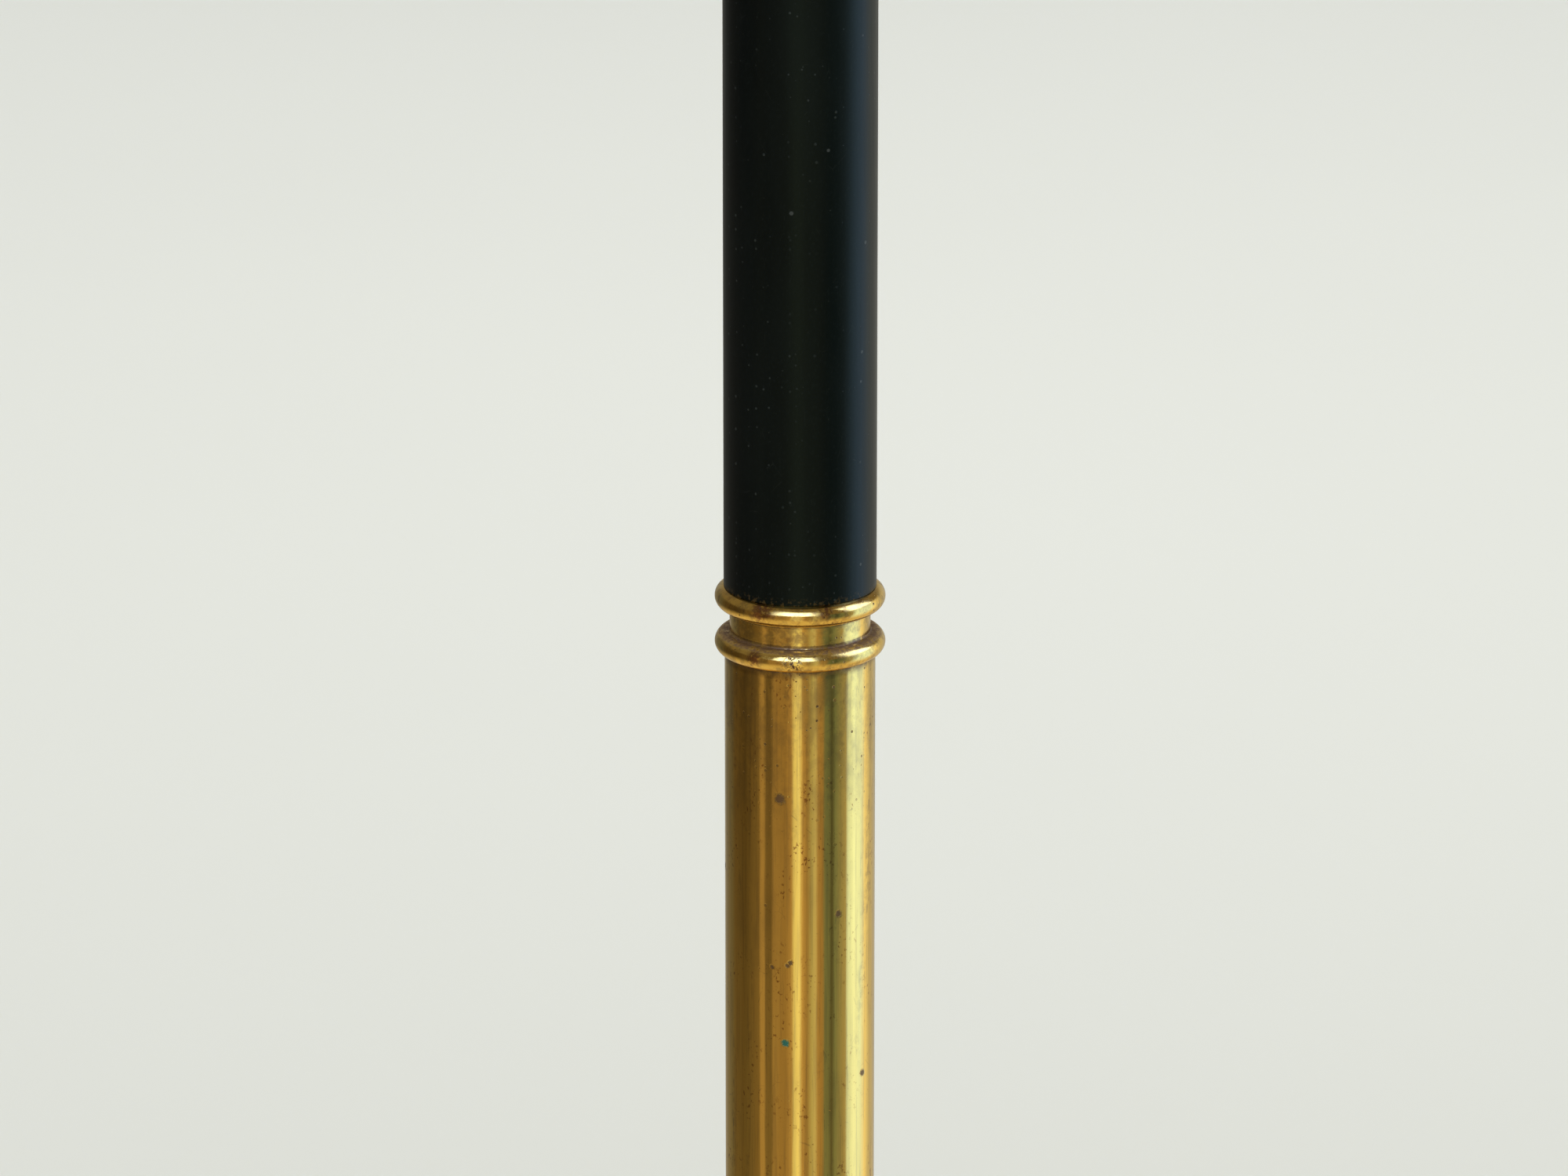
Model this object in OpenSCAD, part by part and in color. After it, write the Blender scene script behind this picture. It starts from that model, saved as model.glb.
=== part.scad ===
// Two-draw hand telescope, closed, standing on its objective cap.
// The optical axis is Z. The objective looks down and the eyepiece is at the top.
// The origin is the centre of the cap's outer face.

/* [Barrel] */
// Outer diameter of the black rear barrel
barrel_d = 40; // [39:0.5:44]
// How much smaller the brass front barrel's radius is
front_step = 0.25; // [0:0.05:0.5]
// Wall thickness of both barrels
barrel_wall = 0.9; // [0.7:0.1:1.1]
// Length of the brass front barrel
front_barrel_len = 200; // [150:1:260]
// Length of the black rear barrel
rear_barrel_len = 168; // [140:1:220]

/* [Joint collar] */
// Radius of the round section of each bead
bead_r = 2.91; // [2.6:0.01:3.2]
// How far the beads stand out from the rear barrel
bead_stand = 2.35; // [2:0.05:2.6]
// Distance from one bead to the other
bead_pitch = 12.3; // [9:0.1:16]
// How far the neck between the beads lies inside the rear barrel's radius
neck_depth = 1.55; // [0.8:0.05:1.8]
// Radius of the fillet where the neck meets each bead
neck_fillet = 0.5; // [0.3:0.1:0.9]
// Length of the spigots that hold the barrels
spigot_len = 9; // [6:1:12]

/* [Objective] */
// Depth of the cell's flange behind the front edge
cell_len = 12; // [11:0.5:16]
// Curve of the crown lens's outer face
crown_curve = 180; // [150:5:300]
// Curve of the cemented face between the two lenses
cement_curve = 130; // [110:5:200]
// Edge thickness of the crown lens
crown_edge = 2; // [1.5:0.1:2.5]
// Thickness of the flint lens at its centre
flint_centre = 2.4; // [2:0.1:3]

/* [Sunshade and cap] */
// Length of the sunshade with its rings
sunshade_len = 65; // [55:1:75]
// Wall thickness of the sunshade
sunshade_wall = 1; // [0.8:0.1:1.4]
// Height of the cap
cap_h = 15; // [12:0.5:18]
// Thickness of the cap's floor
cap_floor = 3; // [2.5:0.1:4]
// Thickness of the felt disc in the cap
lining_t = 1; // [0.8:0.1:1.5]

/* [Draws] */
// Wall thickness of the larger draw
draw_1_wall = 0.9; // [0.7:0.1:1]
// Wall thickness of the smaller draw
draw_2_wall = 0.8; // [0.6:0.1:0.9]
// Length of each spring bush that grips a draw
bush_len = 26; // [20:1:32]
// Length of the stop ring on the front of each draw
stop_len = 8; // [5:1:12]

/* [Eyepiece] */
// Radius of the eye hole
eye_hole_r = 3.5; // [2.5:0.1:3.6]
// Height of the eye cap's straight side
eye_cap_len = 13.4; // [13:0.1:18]
// Angle that the shutter swings to open the eye hole
shutter_swing = 56; // [52:1:56]
// How far the shutter is drawn open, 0 for closed
shutter_open = 0; // [0:1:56]

/* [Fits] */
// Radial clearance of a sliding fit
slide_gap = 0.05; // [0.02:0.01:0.1]
// Gap between flat faces that meet when the telescope is shut
seat_gap = 0.3; // [0.2:0.05:0.5]

/* [Hidden] */
$fn = 128;
lens_fn = 720;
brass = [0.78, 0.62, 0.28];
lacquer = [0.07, 0.08, 0.08];
glass = [0.75, 0.87, 0.85, 0.5];
felt = [0.32, 0.05, 0.07];
blackened = [0.12, 0.11, 0.1];
lip = 0.8;              // width of the narrow step that a lens rests on
ring_t = 2;             // thickness of a threaded retaining ring
cell_depth = 6.5;       // depth of a small lens's cell, in front of its seat
edge_break = 0.2;       // chamfer on the ends of the barrels

// Radii, worked outwards and inwards from the barrels
rear_r = barrel_d / 2;
front_r = rear_r - front_step;
front_bore_r = front_r - barrel_wall;
rear_bore_r = rear_r - barrel_wall;
bead_centre_r = rear_r + bead_stand - bead_r;
neck_r = rear_r - neck_depth;
joint_bore_r = neck_r - 1.25;
cell_r = front_r + 1.45;
objective_r = front_r - 0.85;
aperture_r = objective_r - 1.4;
sunshade_bore_r = cell_r + 0.4;
sunshade_r = sunshade_bore_r + sunshade_wall;
sunshade_ring_r = sunshade_r + 0.6;
cap_bore_r = sunshade_ring_r + slide_gap;
cap_r = cap_bore_r + 1.5;
cap_rim_r = cap_r + 1.4;
cap_foot_r = cap_rim_r - 1.8;
draw_1_r = rear_bore_r - 2.3;
draw_1_bore_r = draw_1_r - draw_1_wall;
bush_1_r = draw_1_r + slide_gap + 0.85;
draw_2_r = draw_1_bore_r - 1.9;
draw_2_bore_r = draw_2_r - draw_2_wall;
bush_2_r = draw_2_r + slide_gap + 0.8;
eye_cap_r = draw_2_r + 2.5;
eye_tube_r = draw_2_bore_r - 0.3;
eye_bore_r = eye_tube_r - 0.9;
erector_bore_r = eye_bore_r - 0.8;

// Heights at the objective end
sunshade_z0 = cap_floor + lining_t + 0.2;
sunshade_z1 = sunshade_z0 + sunshade_len;
grip_len = 3;
guide_len = 10;
guide_z0 = sunshade_z1 - grip_len - guide_len;
cell_z0 = sunshade_z0 + 7.8;
front_z0 = cell_z0 + cell_len;
flint_z1 = front_z0 - 1.5;
flint_z0 = flint_z1 - flint_centre - sag(cement_curve, objective_r);
crown_z0 = flint_z0 - crown_edge;

// Heights of the barrels and the joint collar
front_z1 = front_z0 + front_barrel_len;
low_bead_z = front_z1 + shoulder(front_r);
high_bead_z = low_bead_z + bead_pitch;
rear_z0 = high_bead_z + shoulder(rear_r);
rear_z1 = rear_z0 + rear_barrel_len;

// Heights of the draws and the pieces that guide them
end_collar_z1 = rear_z1 + 13.5;
bush_1_z1 = end_collar_z1 - 1;
bush_1_z0 = bush_1_z1 - bush_len;
draw_1_z0 = rear_z0 + spigot_len + 3;
collar_1_z0 = end_collar_z1 + seat_gap;
collar_1_z1 = collar_1_z0 + 10.5;
bush_2_z1 = collar_1_z1 - 1;
bush_2_z0 = bush_2_z1 - bush_len;
draw_2_z0 = draw_1_z0 + 16;
collar_2_z0 = collar_1_z1 + seat_gap;
collar_2_z1 = collar_2_z0 + 8;
tube_seat = 4;          // depth that a draw tube's end goes into its collar

// Heights in the eyepiece
eye_flange_z0 = collar_2_z0 + tube_seat;
eye_flange_z1 = eye_flange_z0 + 2;
eye_tube_z0 = eye_flange_z1 - 48;
eye_cap_z0 = collar_2_z1;
eye_cap_z1 = eye_cap_z0 + eye_cap_len;
shutter_room = 1.4;
eye_floor_z0 = eye_cap_z1 - shutter_room - 1.6;
eye_tube_z1 = eye_floor_z0 - 3.4;
erector_z1 = eye_tube_z0 + 8;
erector_z0 = erector_z1 - 110;
cup_t = 4.2;
cup_z1 = eye_cap_z1 + cup_t;
dish_r = eye_cap_r - 2.2;
dish_depth = 2.6;

// The shutter's lever turns about a screw beside the eye hole
pivot_x = eye_hole_r + 5.5;
pivot_r = 1.2;
leaf_r = eye_hole_r + 1.3;
leaf_t = 0.8;
leaf_z0 = eye_cap_z1 - (shutter_room + leaf_t) / 2;
knob_arm = pivot_x + 5.6;
knob_r = 0.8;
slot_r = knob_r + 0.3;
pocket_r = eye_cap_r - 1.7;
screw_head_z = eye_cap_z1 + 1.3;

// The screws that pin the first spring bush in the end collar
pin_count = 3;
pin_r = 1.1;
pin_z = rear_z1 + 7.7;

// The erector's lenses and seats
erector_lens_r = erector_bore_r - 3.2;
erector_curve = 20;
erector_edge = 1.2;
front_seat_z = erector_z0 + 4;
rear_seat_z = erector_z0 + 84;

// The eyepiece's lenses and seats
field_curve = 22;
field_edge = 1.2;
field_z0 = erector_z1 + ring_drop(field_curve, eye_bore_r, erector_bore_r);
eye_lens_r = eye_bore_r - 4.5;
eye_curve = 12;
eye_edge = 1.2;
eye_seat_z = eye_tube_z1 - 1.2;

// Depth of a spherical face of radius curve, across a circle of radius r
function sag(curve, r) = curve - sqrt(pow(curve, 2) - pow(r, 2));

// Height above a bead's centre plane at which a tube of radius r stands on the bead
function shoulder(r) = sqrt(pow(bead_r, 2) - pow(r - bead_centre_r, 2));

// A profile drawn as radius across and height up, turned about the optical axis
module turned() {
    rotate_extrude() children();
}

// Profile of a plain wall between two radii and two heights
module wall(r0, r1, z0, z1) {
    translate([r0, z0]) square([r1 - r0, z1 - z0]);
}

// Profile of a round bead
module bead(centre_r, z, r) {
    translate([centre_r, z]) circle(r);
}

// Profile of a wall whose outer corners are rounded
module round_wall(r0, r1, z0, z1, corner) {
    wall(r0, r1 - corner, z0, z1);
    wall(r0, r1, z0 + corner, z1 - corner);
    bead(r1 - corner, z0 + corner, corner);
    bead(r1 - corner, z1 - corner, corner);
}

// A plain turned tube
module tube(r0, r1, z0, z1) {
    turned() wall(r0, r1, z0, z1);
}

// A barrel's tube, with the outer edges of its ends broken
module barrel_tube(r0, r1, z0, z1) {
    turned() polygon([
        [r0, z0],
        [r1 - edge_break, z0],
        [r1, z0 + edge_break],
        [r1, z1 - edge_break],
        [r1 - edge_break, z1],
        [r0, z1]
    ]);
}

// A lens with its edge between z0 and z1. A face bulges by a positive curve,
// is hollow by a negative one, and is flat at 0.
module lens(r, z0, z1, low_curve, high_curve) {
    turned() difference() {
        union() {
            wall(0, r, z0, z1);
            if (low_curve > 0) face_bulge(r, z0, low_curve);
            if (high_curve > 0) translate([0, 2 * z1]) mirror([0, 1]) face_bulge(r, z1, high_curve);
        }
        if (low_curve < 0)
            translate([0, z0 + sag(-low_curve, r) + low_curve]) circle(-low_curve, $fn = lens_fn);
    }
}

// Profile of a spherical face that bulges down from z. It reaches a little above z, to join the edge.
module face_bulge(r, z, curve) {
    intersection() {
        wall(0, r, z - sag(curve, r), z + 0.5);
        translate([0, z - sag(curve, r) + curve]) circle(curve, $fn = lens_fn);
    }
}

// How far a ring of inner radius ring_r stays back from a lens's edge, so that it
// just touches the bulging face
function ring_drop(curve, edge_r, ring_r) = sag(curve, edge_r) - sag(curve, ring_r);

// A cell with a lens seat at z. The lens's flat face bears up against the seat.
module lens_cell(r, lens_r, z) {
    seat_t = 1.2;
    turned() {
        wall(lens_r - lip, r, z, z + seat_t);
        wall(lens_r, r, z - cell_depth, z);
    }
}

// A plano-convex lens with its flat face up at z
module plano_lens(lens_r, z, edge, curve) {
    lens(lens_r, z - edge, z, curve, 0);
}

// The threaded ring that holds a plano-convex lens against its seat at z
module retaining_ring(lens_r, z, edge, curve) {
    top = z - edge - ring_drop(curve, lens_r, lens_r - lip);
    difference() {
        tube(lens_r - lip, lens_r, top - ring_t, top);
        spanner_slots(lens_r, top - ring_t);
    }
}

// Two notches across a ring's lower face, for the spanner that turns it
module spanner_slots(r, z) {
    slot_w = 1.2;
    slot_depth = 0.7;
    translate([-r - 1, -slot_w / 2, z - 1]) cube([2 * r + 2, slot_w, slot_depth + 1]);
}

// A split tube whose fingers grip a draw
module spring_bush(r0, r1, z0, z1) {
    slot_w = 1.2;
    slot_len = (z1 - z0) * 0.7;
    difference() {
        tube(r0, r1, z0, z1);
        for (turn = [0, 90])
            rotate(turn) translate([-r1 - 1, -slot_w / 2, z0 - 1]) cube([2 * r1 + 2, slot_w, slot_len + 1]);
    }
}

// The ring on the front end of a draw, which stops it from leaving its bush
module stop_ring(tube_bore_r, tube_r, r, z) {
    end_t = 1.5;
    turned() {
        wall(tube_bore_r, r, z - end_t, z);
        wall(tube_r, r, z, z + stop_len);
    }
}

// Profile of the beads and neck that the joint collar shows
module double_bead() {
    difference() {
        union() {
            bead(bead_centre_r, low_bead_z, bead_r);
            bead(bead_centre_r, high_bead_z, bead_r);
            wall(joint_bore_r, neck_r, low_bead_z, high_bead_z);
            neck_corner(low_bead_z, 1);
            neck_corner(high_bead_z, -1);
        }
        wall(0, joint_bore_r, low_bead_z - bead_pitch, high_bead_z + bead_pitch);
        wall(0, rear_r + bead_stand, front_z1 - bead_r, front_z1);
        wall(0, rear_r + bead_stand, rear_z0, rear_z0 + bead_r);
    }
}

// Profile of the fillet between the neck and the bead at z. side is 1 above the bead.
module neck_corner(z, side) {
    fillet_z = sqrt(pow(bead_r + neck_fillet, 2) - pow(neck_r + neck_fillet - bead_centre_r, 2));
    difference() {
        wall(neck_r - 0.1, neck_r + neck_fillet, min(z, z + side * fillet_z), max(z, z + side * fillet_z));
        translate([neck_r + neck_fillet, z + side * fillet_z]) circle(neck_fillet);
    }
}

// ---- Objective cap

module objective_cap() {
    rim_round = cap_rim_r - cap_foot_r;
    foot_recess = 0.6;
    color(brass) turned() difference() {
        union() {
            wall(0, cap_foot_r, 0, cap_floor);
            bead(cap_foot_r, rim_round, rim_round);
            round_wall(cap_bore_r, cap_r, cap_floor - 1, cap_h, 0.5);
        }
        wall(-1, cap_bore_r, cap_floor, cap_h + 1);
        wall(-1, cap_foot_r - 6, -1, foot_recess);
    }
}

module cap_lining() {
    color(felt) translate([0, 0, cap_floor]) cylinder(h = lining_t, r = cap_bore_r - 0.5);
}

// ---- Sunshade

module sunshade_tube() {
    color(brass) tube(sunshade_bore_r, sunshade_r, sunshade_z0 + 1, sunshade_z1 - grip_len);
}

// The smooth ring that the cap fits over, with a small bead just above the cap's edge
module sunshade_front_ring() {
    edge_bead_r = 0.8;
    ring_z1 = cap_h + 2.8;
    color(brass) turned() {
        wall(sunshade_bore_r, sunshade_ring_r, sunshade_z0, sunshade_z0 + 1);
        wall(sunshade_r, sunshade_ring_r, sunshade_z0, ring_z1);
        difference() {
            bead(sunshade_ring_r, ring_z1, edge_bead_r);
            wall(0, sunshade_r, cap_h, ring_z1 + edge_bead_r + 1);
        }
    }
}

// The rear ring of the sunshade: a milled grip outside, and the bush that slides on the barrel
module sunshade_guide() {
    color(brass) turned() {
        wall(front_r + slide_gap, sunshade_bore_r, guide_z0, sunshade_z1);
        round_wall(front_r + slide_gap, sunshade_ring_r + 1, sunshade_z1 - grip_len, sunshade_z1, 0.6);
    }
}

module sunshade_stop_ring() {
    ring_z0 = sunshade_z1 + seat_gap;
    ring_len = 2.8;
    color(brass) turned() difference() {
        union() {
            wall(front_r, cell_r - ring_len / 2, ring_z0, ring_z0 + ring_len);
            bead(cell_r - ring_len / 2, ring_z0 + ring_len / 2, ring_len / 2);
        }
        wall(0, front_r, ring_z0 - 1, ring_z0 + ring_len + 1);
    }
}

// ---- Objective

module objective_cell() {
    color(brass) turned() {
        wall(objective_r, cell_r, cell_z0, front_z0);
        wall(aperture_r, cell_r, flint_z1, front_z0);
        wall(aperture_r, front_bore_r, flint_z1, front_z0 + spigot_len);
    }
}

module crown_lens() {
    color(glass) lens(objective_r, crown_z0, flint_z0, crown_curve, cement_curve);
}

module flint_lens() {
    color(glass) lens(objective_r, flint_z0, flint_z1, -cement_curve, 0);
}

module objective_ring() {
    ring_r = objective_r - 1.5;
    ring_z1 = crown_z0 - ring_drop(crown_curve, objective_r, ring_r);
    ring_z0 = ring_z1 - 2.5;
    color(blackened) difference() {
        tube(ring_r, objective_r, ring_z0, ring_z1);
        spanner_slots(objective_r, ring_z0);
    }
}

// ---- Barrels

module front_barrel() {
    color(brass) barrel_tube(front_bore_r, front_r, front_z0, front_z1);
}

// A washer with a skirt, which cuts stray light off halfway down the front barrel
module front_baffle() {
    baffle_z = front_z0 + front_barrel_len / 2;
    skirt_t = 0.8;
    skirt_len = 6;
    color(blackened) turned() {
        wall(aperture_r - 2, front_bore_r, baffle_z, baffle_z + 1);
        wall(front_bore_r - skirt_t, front_bore_r, baffle_z, baffle_z + skirt_len);
    }
}

module joint_collar() {
    color(brass) turned() {
        double_bead();
        wall(joint_bore_r, front_bore_r, front_z1 - spigot_len, front_z1);
        wall(joint_bore_r, rear_bore_r, rear_z0, rear_z0 + spigot_len);
        wall(joint_bore_r, neck_r, front_z1, rear_z0);
    }
}

module rear_barrel() {
    color(lacquer) barrel_tube(rear_bore_r, rear_r, rear_z0, rear_z1);
}

// The rear barrel's end: one bead like the joint collar's, a neck and a smaller bead
module end_collar() {
    low_z = rear_z1 + shoulder(rear_r);
    small_r = 2.1;
    color(brass) difference() {
        turned() difference() {
            union() {
                wall(bush_1_r, rear_bore_r, rear_z1 - spigot_len, rear_z1);
                wall(bush_1_r, neck_r, rear_z1, end_collar_z1);
                bead(bead_centre_r, low_z, bead_r);
                bead(neck_r, end_collar_z1 - small_r, small_r);
            }
            wall(rear_bore_r, rear_r + bead_stand, rear_z1 - bead_r, rear_z1);
            wall(0, bush_1_r, rear_z1 - bead_r, end_collar_z1 + 1);
        }
        at_pins() translate([bush_1_r - 1, 0, 0]) rotate([0, 90, 0]) cylinder(h = 6, r = pin_r, $fn = 32);
    }
}

// Places its children at each pin screw, with the screw's axis along X
module at_pins() {
    for (i = [0 : pin_count - 1])
        rotate(30 + i * 360 / pin_count) translate([0, 0, pin_z]) children();
}

// Slotted screws that pin the spring bush in the end collar
module end_collar_screws() {
    head_x = neck_r + 0.35;
    slot_w = 0.4;
    color(brass) at_pins() difference() {
        translate([bush_1_r, 0, 0]) rotate([0, 90, 0]) cylinder(h = head_x - bush_1_r, r = pin_r, $fn = 32);
        translate([head_x - 0.5, -slot_w / 2, -2]) cube([1, slot_w, 4]);
    }
}

module barrel_spring_bush() {
    color(brass) spring_bush(draw_1_r + slide_gap, bush_1_r, bush_1_z0, bush_1_z1);
}

// ---- Larger draw

module draw_1_tube() {
    color(brass) tube(draw_1_bore_r, draw_1_r, draw_1_z0, collar_1_z0 + tube_seat);
}

module draw_1_stop_ring() {
    color(brass) stop_ring(draw_1_bore_r, draw_1_r, rear_bore_r - 0.3, draw_1_z0);
}

module draw_1_collar() {
    top_bead_r = 2;
    color(brass) turned() difference() {
        union() {
            round_wall(bush_2_r, draw_1_r + 2.6, collar_1_z0, collar_1_z0 + 3.6, 0.6);
            wall(bush_2_r, draw_1_r + 0.6, collar_1_z0 + 3, collar_1_z1);
            bead(draw_1_r + 0.1, collar_1_z1 - top_bead_r, top_bead_r);
        }
        wall(0, draw_1_r, collar_1_z0 - 1, collar_1_z0 + tube_seat);
        wall(0, bush_2_r, collar_1_z0 - 1, collar_1_z1 + 1);
    }
}

module draw_1_spring_bush() {
    color(brass) spring_bush(draw_2_r + slide_gap, bush_2_r, bush_2_z0, bush_2_z1);
}

// ---- Smaller draw

module draw_2_tube() {
    color(brass) tube(draw_2_bore_r, draw_2_r, draw_2_z0, eye_flange_z0);
}

module draw_2_stop_ring() {
    color(brass) stop_ring(draw_2_bore_r, draw_2_r, draw_1_bore_r - 0.3, draw_2_z0);
}

module draw_2_collar() {
    top_bead_r = 1.3;
    color(brass) turned() {
        round_wall(draw_2_r, draw_2_r + 3.6, collar_2_z0, collar_2_z0 + 3.6, 0.6);
        wall(draw_2_r, draw_2_r + 1.6, collar_2_z0 + 3, collar_2_z1);
        bead(draw_2_r + 1.6, collar_2_z1 - top_bead_r, top_bead_r);
    }
}

// ---- Erector: the two lenses that turn the picture upright

// Turns a piece over about the front seat, because that lens faces the other way
module facing_front() {
    translate([0, 0, 2 * front_seat_z]) mirror([0, 0, 1]) children();
}

module erector_tube() {
    color(blackened) tube(erector_bore_r, eye_bore_r, erector_z0, erector_z1);
}

module erector_front_cell() {
    color(brass) facing_front() lens_cell(erector_bore_r, erector_lens_r, front_seat_z);
}

module erector_front_lens() {
    color(glass) facing_front() plano_lens(erector_lens_r, front_seat_z, erector_edge, erector_curve);
}

module erector_front_ring() {
    color(brass) facing_front() retaining_ring(erector_lens_r, front_seat_z, erector_edge, erector_curve);
}

// A disc with a small hole, where the first lens gathers the light
module erector_stop() {
    stop_hole_r = 2;
    stop_z = erector_z0 + 30;
    color(blackened) tube(stop_hole_r, erector_bore_r, stop_z, stop_z + 1.2);
}

module erector_rear_cell() {
    color(brass) lens_cell(erector_bore_r, erector_lens_r, rear_seat_z);
}

module erector_rear_lens() {
    color(glass) plano_lens(erector_lens_r, rear_seat_z, erector_edge, erector_curve);
}

module erector_rear_ring() {
    color(brass) retaining_ring(erector_lens_r, rear_seat_z, erector_edge, erector_curve);
}

// ---- Eyepiece

module eyepiece_tube() {
    color(brass) turned() {
        wall(eye_bore_r, eye_tube_r, eye_tube_z0, eye_tube_z1);
        wall(eye_bore_r, draw_2_r, eye_flange_z0, eye_flange_z1);
    }
}

module field_lens() {
    color(glass) plano_lens(eye_bore_r, field_z0 + field_edge, field_edge, field_curve);
}

module field_lens_ring() {
    color(blackened) tube(erector_bore_r, eye_bore_r, field_z0 + field_edge, field_z0 + field_edge + ring_t);
}

// A ring between the field lens and the eye lens, which gives the picture a sharp round edge
module field_stop() {
    stop_z = field_z0 + 22;
    color(blackened) turned() {
        wall(eye_bore_r / 2, eye_bore_r, stop_z, stop_z + 1);
        wall(erector_bore_r, eye_bore_r, stop_z, stop_z + 5);
    }
}

module eye_lens_cell() {
    color(blackened) lens_cell(eye_bore_r, eye_lens_r, eye_seat_z);
}

module eye_lens() {
    color(glass) plano_lens(eye_lens_r, eye_seat_z, eye_edge, eye_curve);
}

module eye_lens_ring() {
    color(blackened) retaining_ring(eye_lens_r, eye_seat_z, eye_edge, eye_curve);
}

// The screwed cap over the eye lens, with a pocket on top for the shutter
module eye_cap() {
    cap_bore = eye_tube_r + 0.3;
    color(brass) difference() {
        turned() difference() {
            union() {
                wall(cap_bore, draw_2_r, eye_flange_z1, eye_cap_z0);
                wall(cap_bore, eye_cap_r, eye_cap_z0, eye_cap_z1);
                wall(eye_hole_r, cap_bore, eye_floor_z0, eye_cap_z1 - shutter_room);
            }
            wall(0, pocket_r, eye_cap_z1 - shutter_room, eye_cap_z1 + 1);
        }
        translate([pivot_x, 0, eye_floor_z0 - 1]) cylinder(h = 6, r = pivot_r, $fn = 48);
    }
}

// The dished face that the eye meets, with the slot that the shutter's knob runs in
module eye_cup() {
    dish_curve = (pow(dish_r, 2) + pow(dish_depth, 2)) / (2 * dish_depth);
    color(lacquer) difference() {
        turned() difference() {
            union() {
                wall(eye_hole_r, eye_cap_r, eye_cap_z1, cup_z1 - 1);
                round_wall(eye_hole_r, eye_cap_r, eye_cap_z1 + 1, cup_z1, 1);
            }
            translate([0, cup_z1 - dish_depth + dish_curve]) circle(dish_curve, $fn = lens_fn);
        }
        translate([pivot_x, 0, eye_cap_z1 - 1]) cylinder(h = cup_t + 2, r = pivot_r, $fn = 48);
        translate([pivot_x, 0, screw_head_z]) cylinder(h = cup_t, r = pivot_r + 0.9, $fn = 48);
        knob_slot();
    }
}

// The curved slot: an arc about the pivot screw between two drilled holes, which are a
// little wider than the arc
module knob_slot() {
    height = cup_t + 2;
    half_width = slot_r - 0.1;
    translate([pivot_x, 0, eye_cap_z1 - 1]) {
        intersection() {
            difference() {
                cylinder(h = height, r = knob_arm + half_width);
                translate([0, 0, -1]) cylinder(h = height + 2, r = knob_arm - half_width);
            }
            slot_sector(height);
        }
        for (turn = [180 - shutter_swing, 180])
            rotate(turn) translate([knob_arm, 0, 0]) cylinder(h = height, r = slot_r, $fn = 48);
    }
}

// The wedge that cuts the slot's arc to the shutter's swing
module slot_sector(height) {
    reach = 2 * knob_arm;
    linear_extrude(height) polygon([
        [0, 0],
        for (turn = [180 - shutter_swing, 180 - shutter_swing / 2, 180]) reach * [cos(turn), sin(turn)]
    ]);
}

module shutter_screw() {
    head_t = 1;
    slot_w = 0.5;
    color(brass) difference() {
        union() {
            translate([pivot_x, 0, eye_floor_z0])
                cylinder(h = screw_head_z - eye_floor_z0, r = pivot_r, $fn = 48);
            translate([pivot_x, 0, screw_head_z]) cylinder(h = head_t, r = pivot_r + 0.9, $fn = 48);
        }
        translate([pivot_x - 3, -slot_w / 2, screw_head_z + head_t - 0.5]) cube([6, slot_w, 1]);
    }
}

// Turns the shutter's pieces about the pivot screw
module swung() {
    translate([pivot_x, 0, 0]) rotate(-shutter_open) translate([-pivot_x, 0, 0]) children();
}

// A flat lever: a round blade over the eye hole, an eye on the screw and a tail for the knob
module shutter_leaf() {
    tail_r = 1.5;
    tail_x = pivot_x - knob_arm;
    arm_w = 2 * pivot_r + 2;
    color(brass) swung() translate([0, 0, leaf_z0]) difference() {
        linear_extrude(leaf_t) {
            circle(leaf_r);
            translate([pivot_x, 0]) circle(pivot_r + 1.6);
            translate([tail_x, 0]) circle(tail_r);
            translate([0, -arm_w / 2]) square([pivot_x, arm_w]);
            translate([tail_x, -tail_r]) square([-tail_x, 2 * tail_r]);
        }
        translate([pivot_x, 0, -1]) cylinder(h = leaf_t + 2, r = pivot_r + slide_gap, $fn = 48);
    }
}

module shutter_knob() {
    head_z = cup_z1 - 0.1;
    color(brass) swung() translate([pivot_x - knob_arm, 0, 0]) {
        translate([0, 0, leaf_z0 + leaf_t]) cylinder(h = head_z - leaf_z0 - leaf_t, r = knob_r, $fn = 48);
        translate([0, 0, head_z]) cylinder(h = 1, r = knob_r + 0.6, $fn = 48);
    }
}

objective_cap();
cap_lining();
sunshade_tube();
sunshade_front_ring();
sunshade_guide();
sunshade_stop_ring();
objective_cell();
crown_lens();
flint_lens();
objective_ring();
front_barrel();
front_baffle();
joint_collar();
rear_barrel();
end_collar();
end_collar_screws();
barrel_spring_bush();
draw_1_tube();
draw_1_stop_ring();
draw_1_collar();
draw_1_spring_bush();
draw_2_tube();
draw_2_stop_ring();
draw_2_collar();
erector_tube();
erector_front_cell();
erector_front_lens();
erector_front_ring();
erector_stop();
erector_rear_cell();
erector_rear_lens();
erector_rear_ring();
eyepiece_tube();
field_lens();
field_lens_ring();
field_stop();
eye_lens_cell();
eye_lens();
eye_lens_ring();
eye_cap();
eye_cup();
shutter_screw();
shutter_leaf();
shutter_knob();
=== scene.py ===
"""Looks of a two-draw brass telescope, standing closed on its objective cap.

Lengths are in metres unless a name says otherwise, and MM turns millimetres into them. The optical
axis is Z. Turned pieces are outlines of (across, up) points, turned about that axis.
"""
import math

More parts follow.
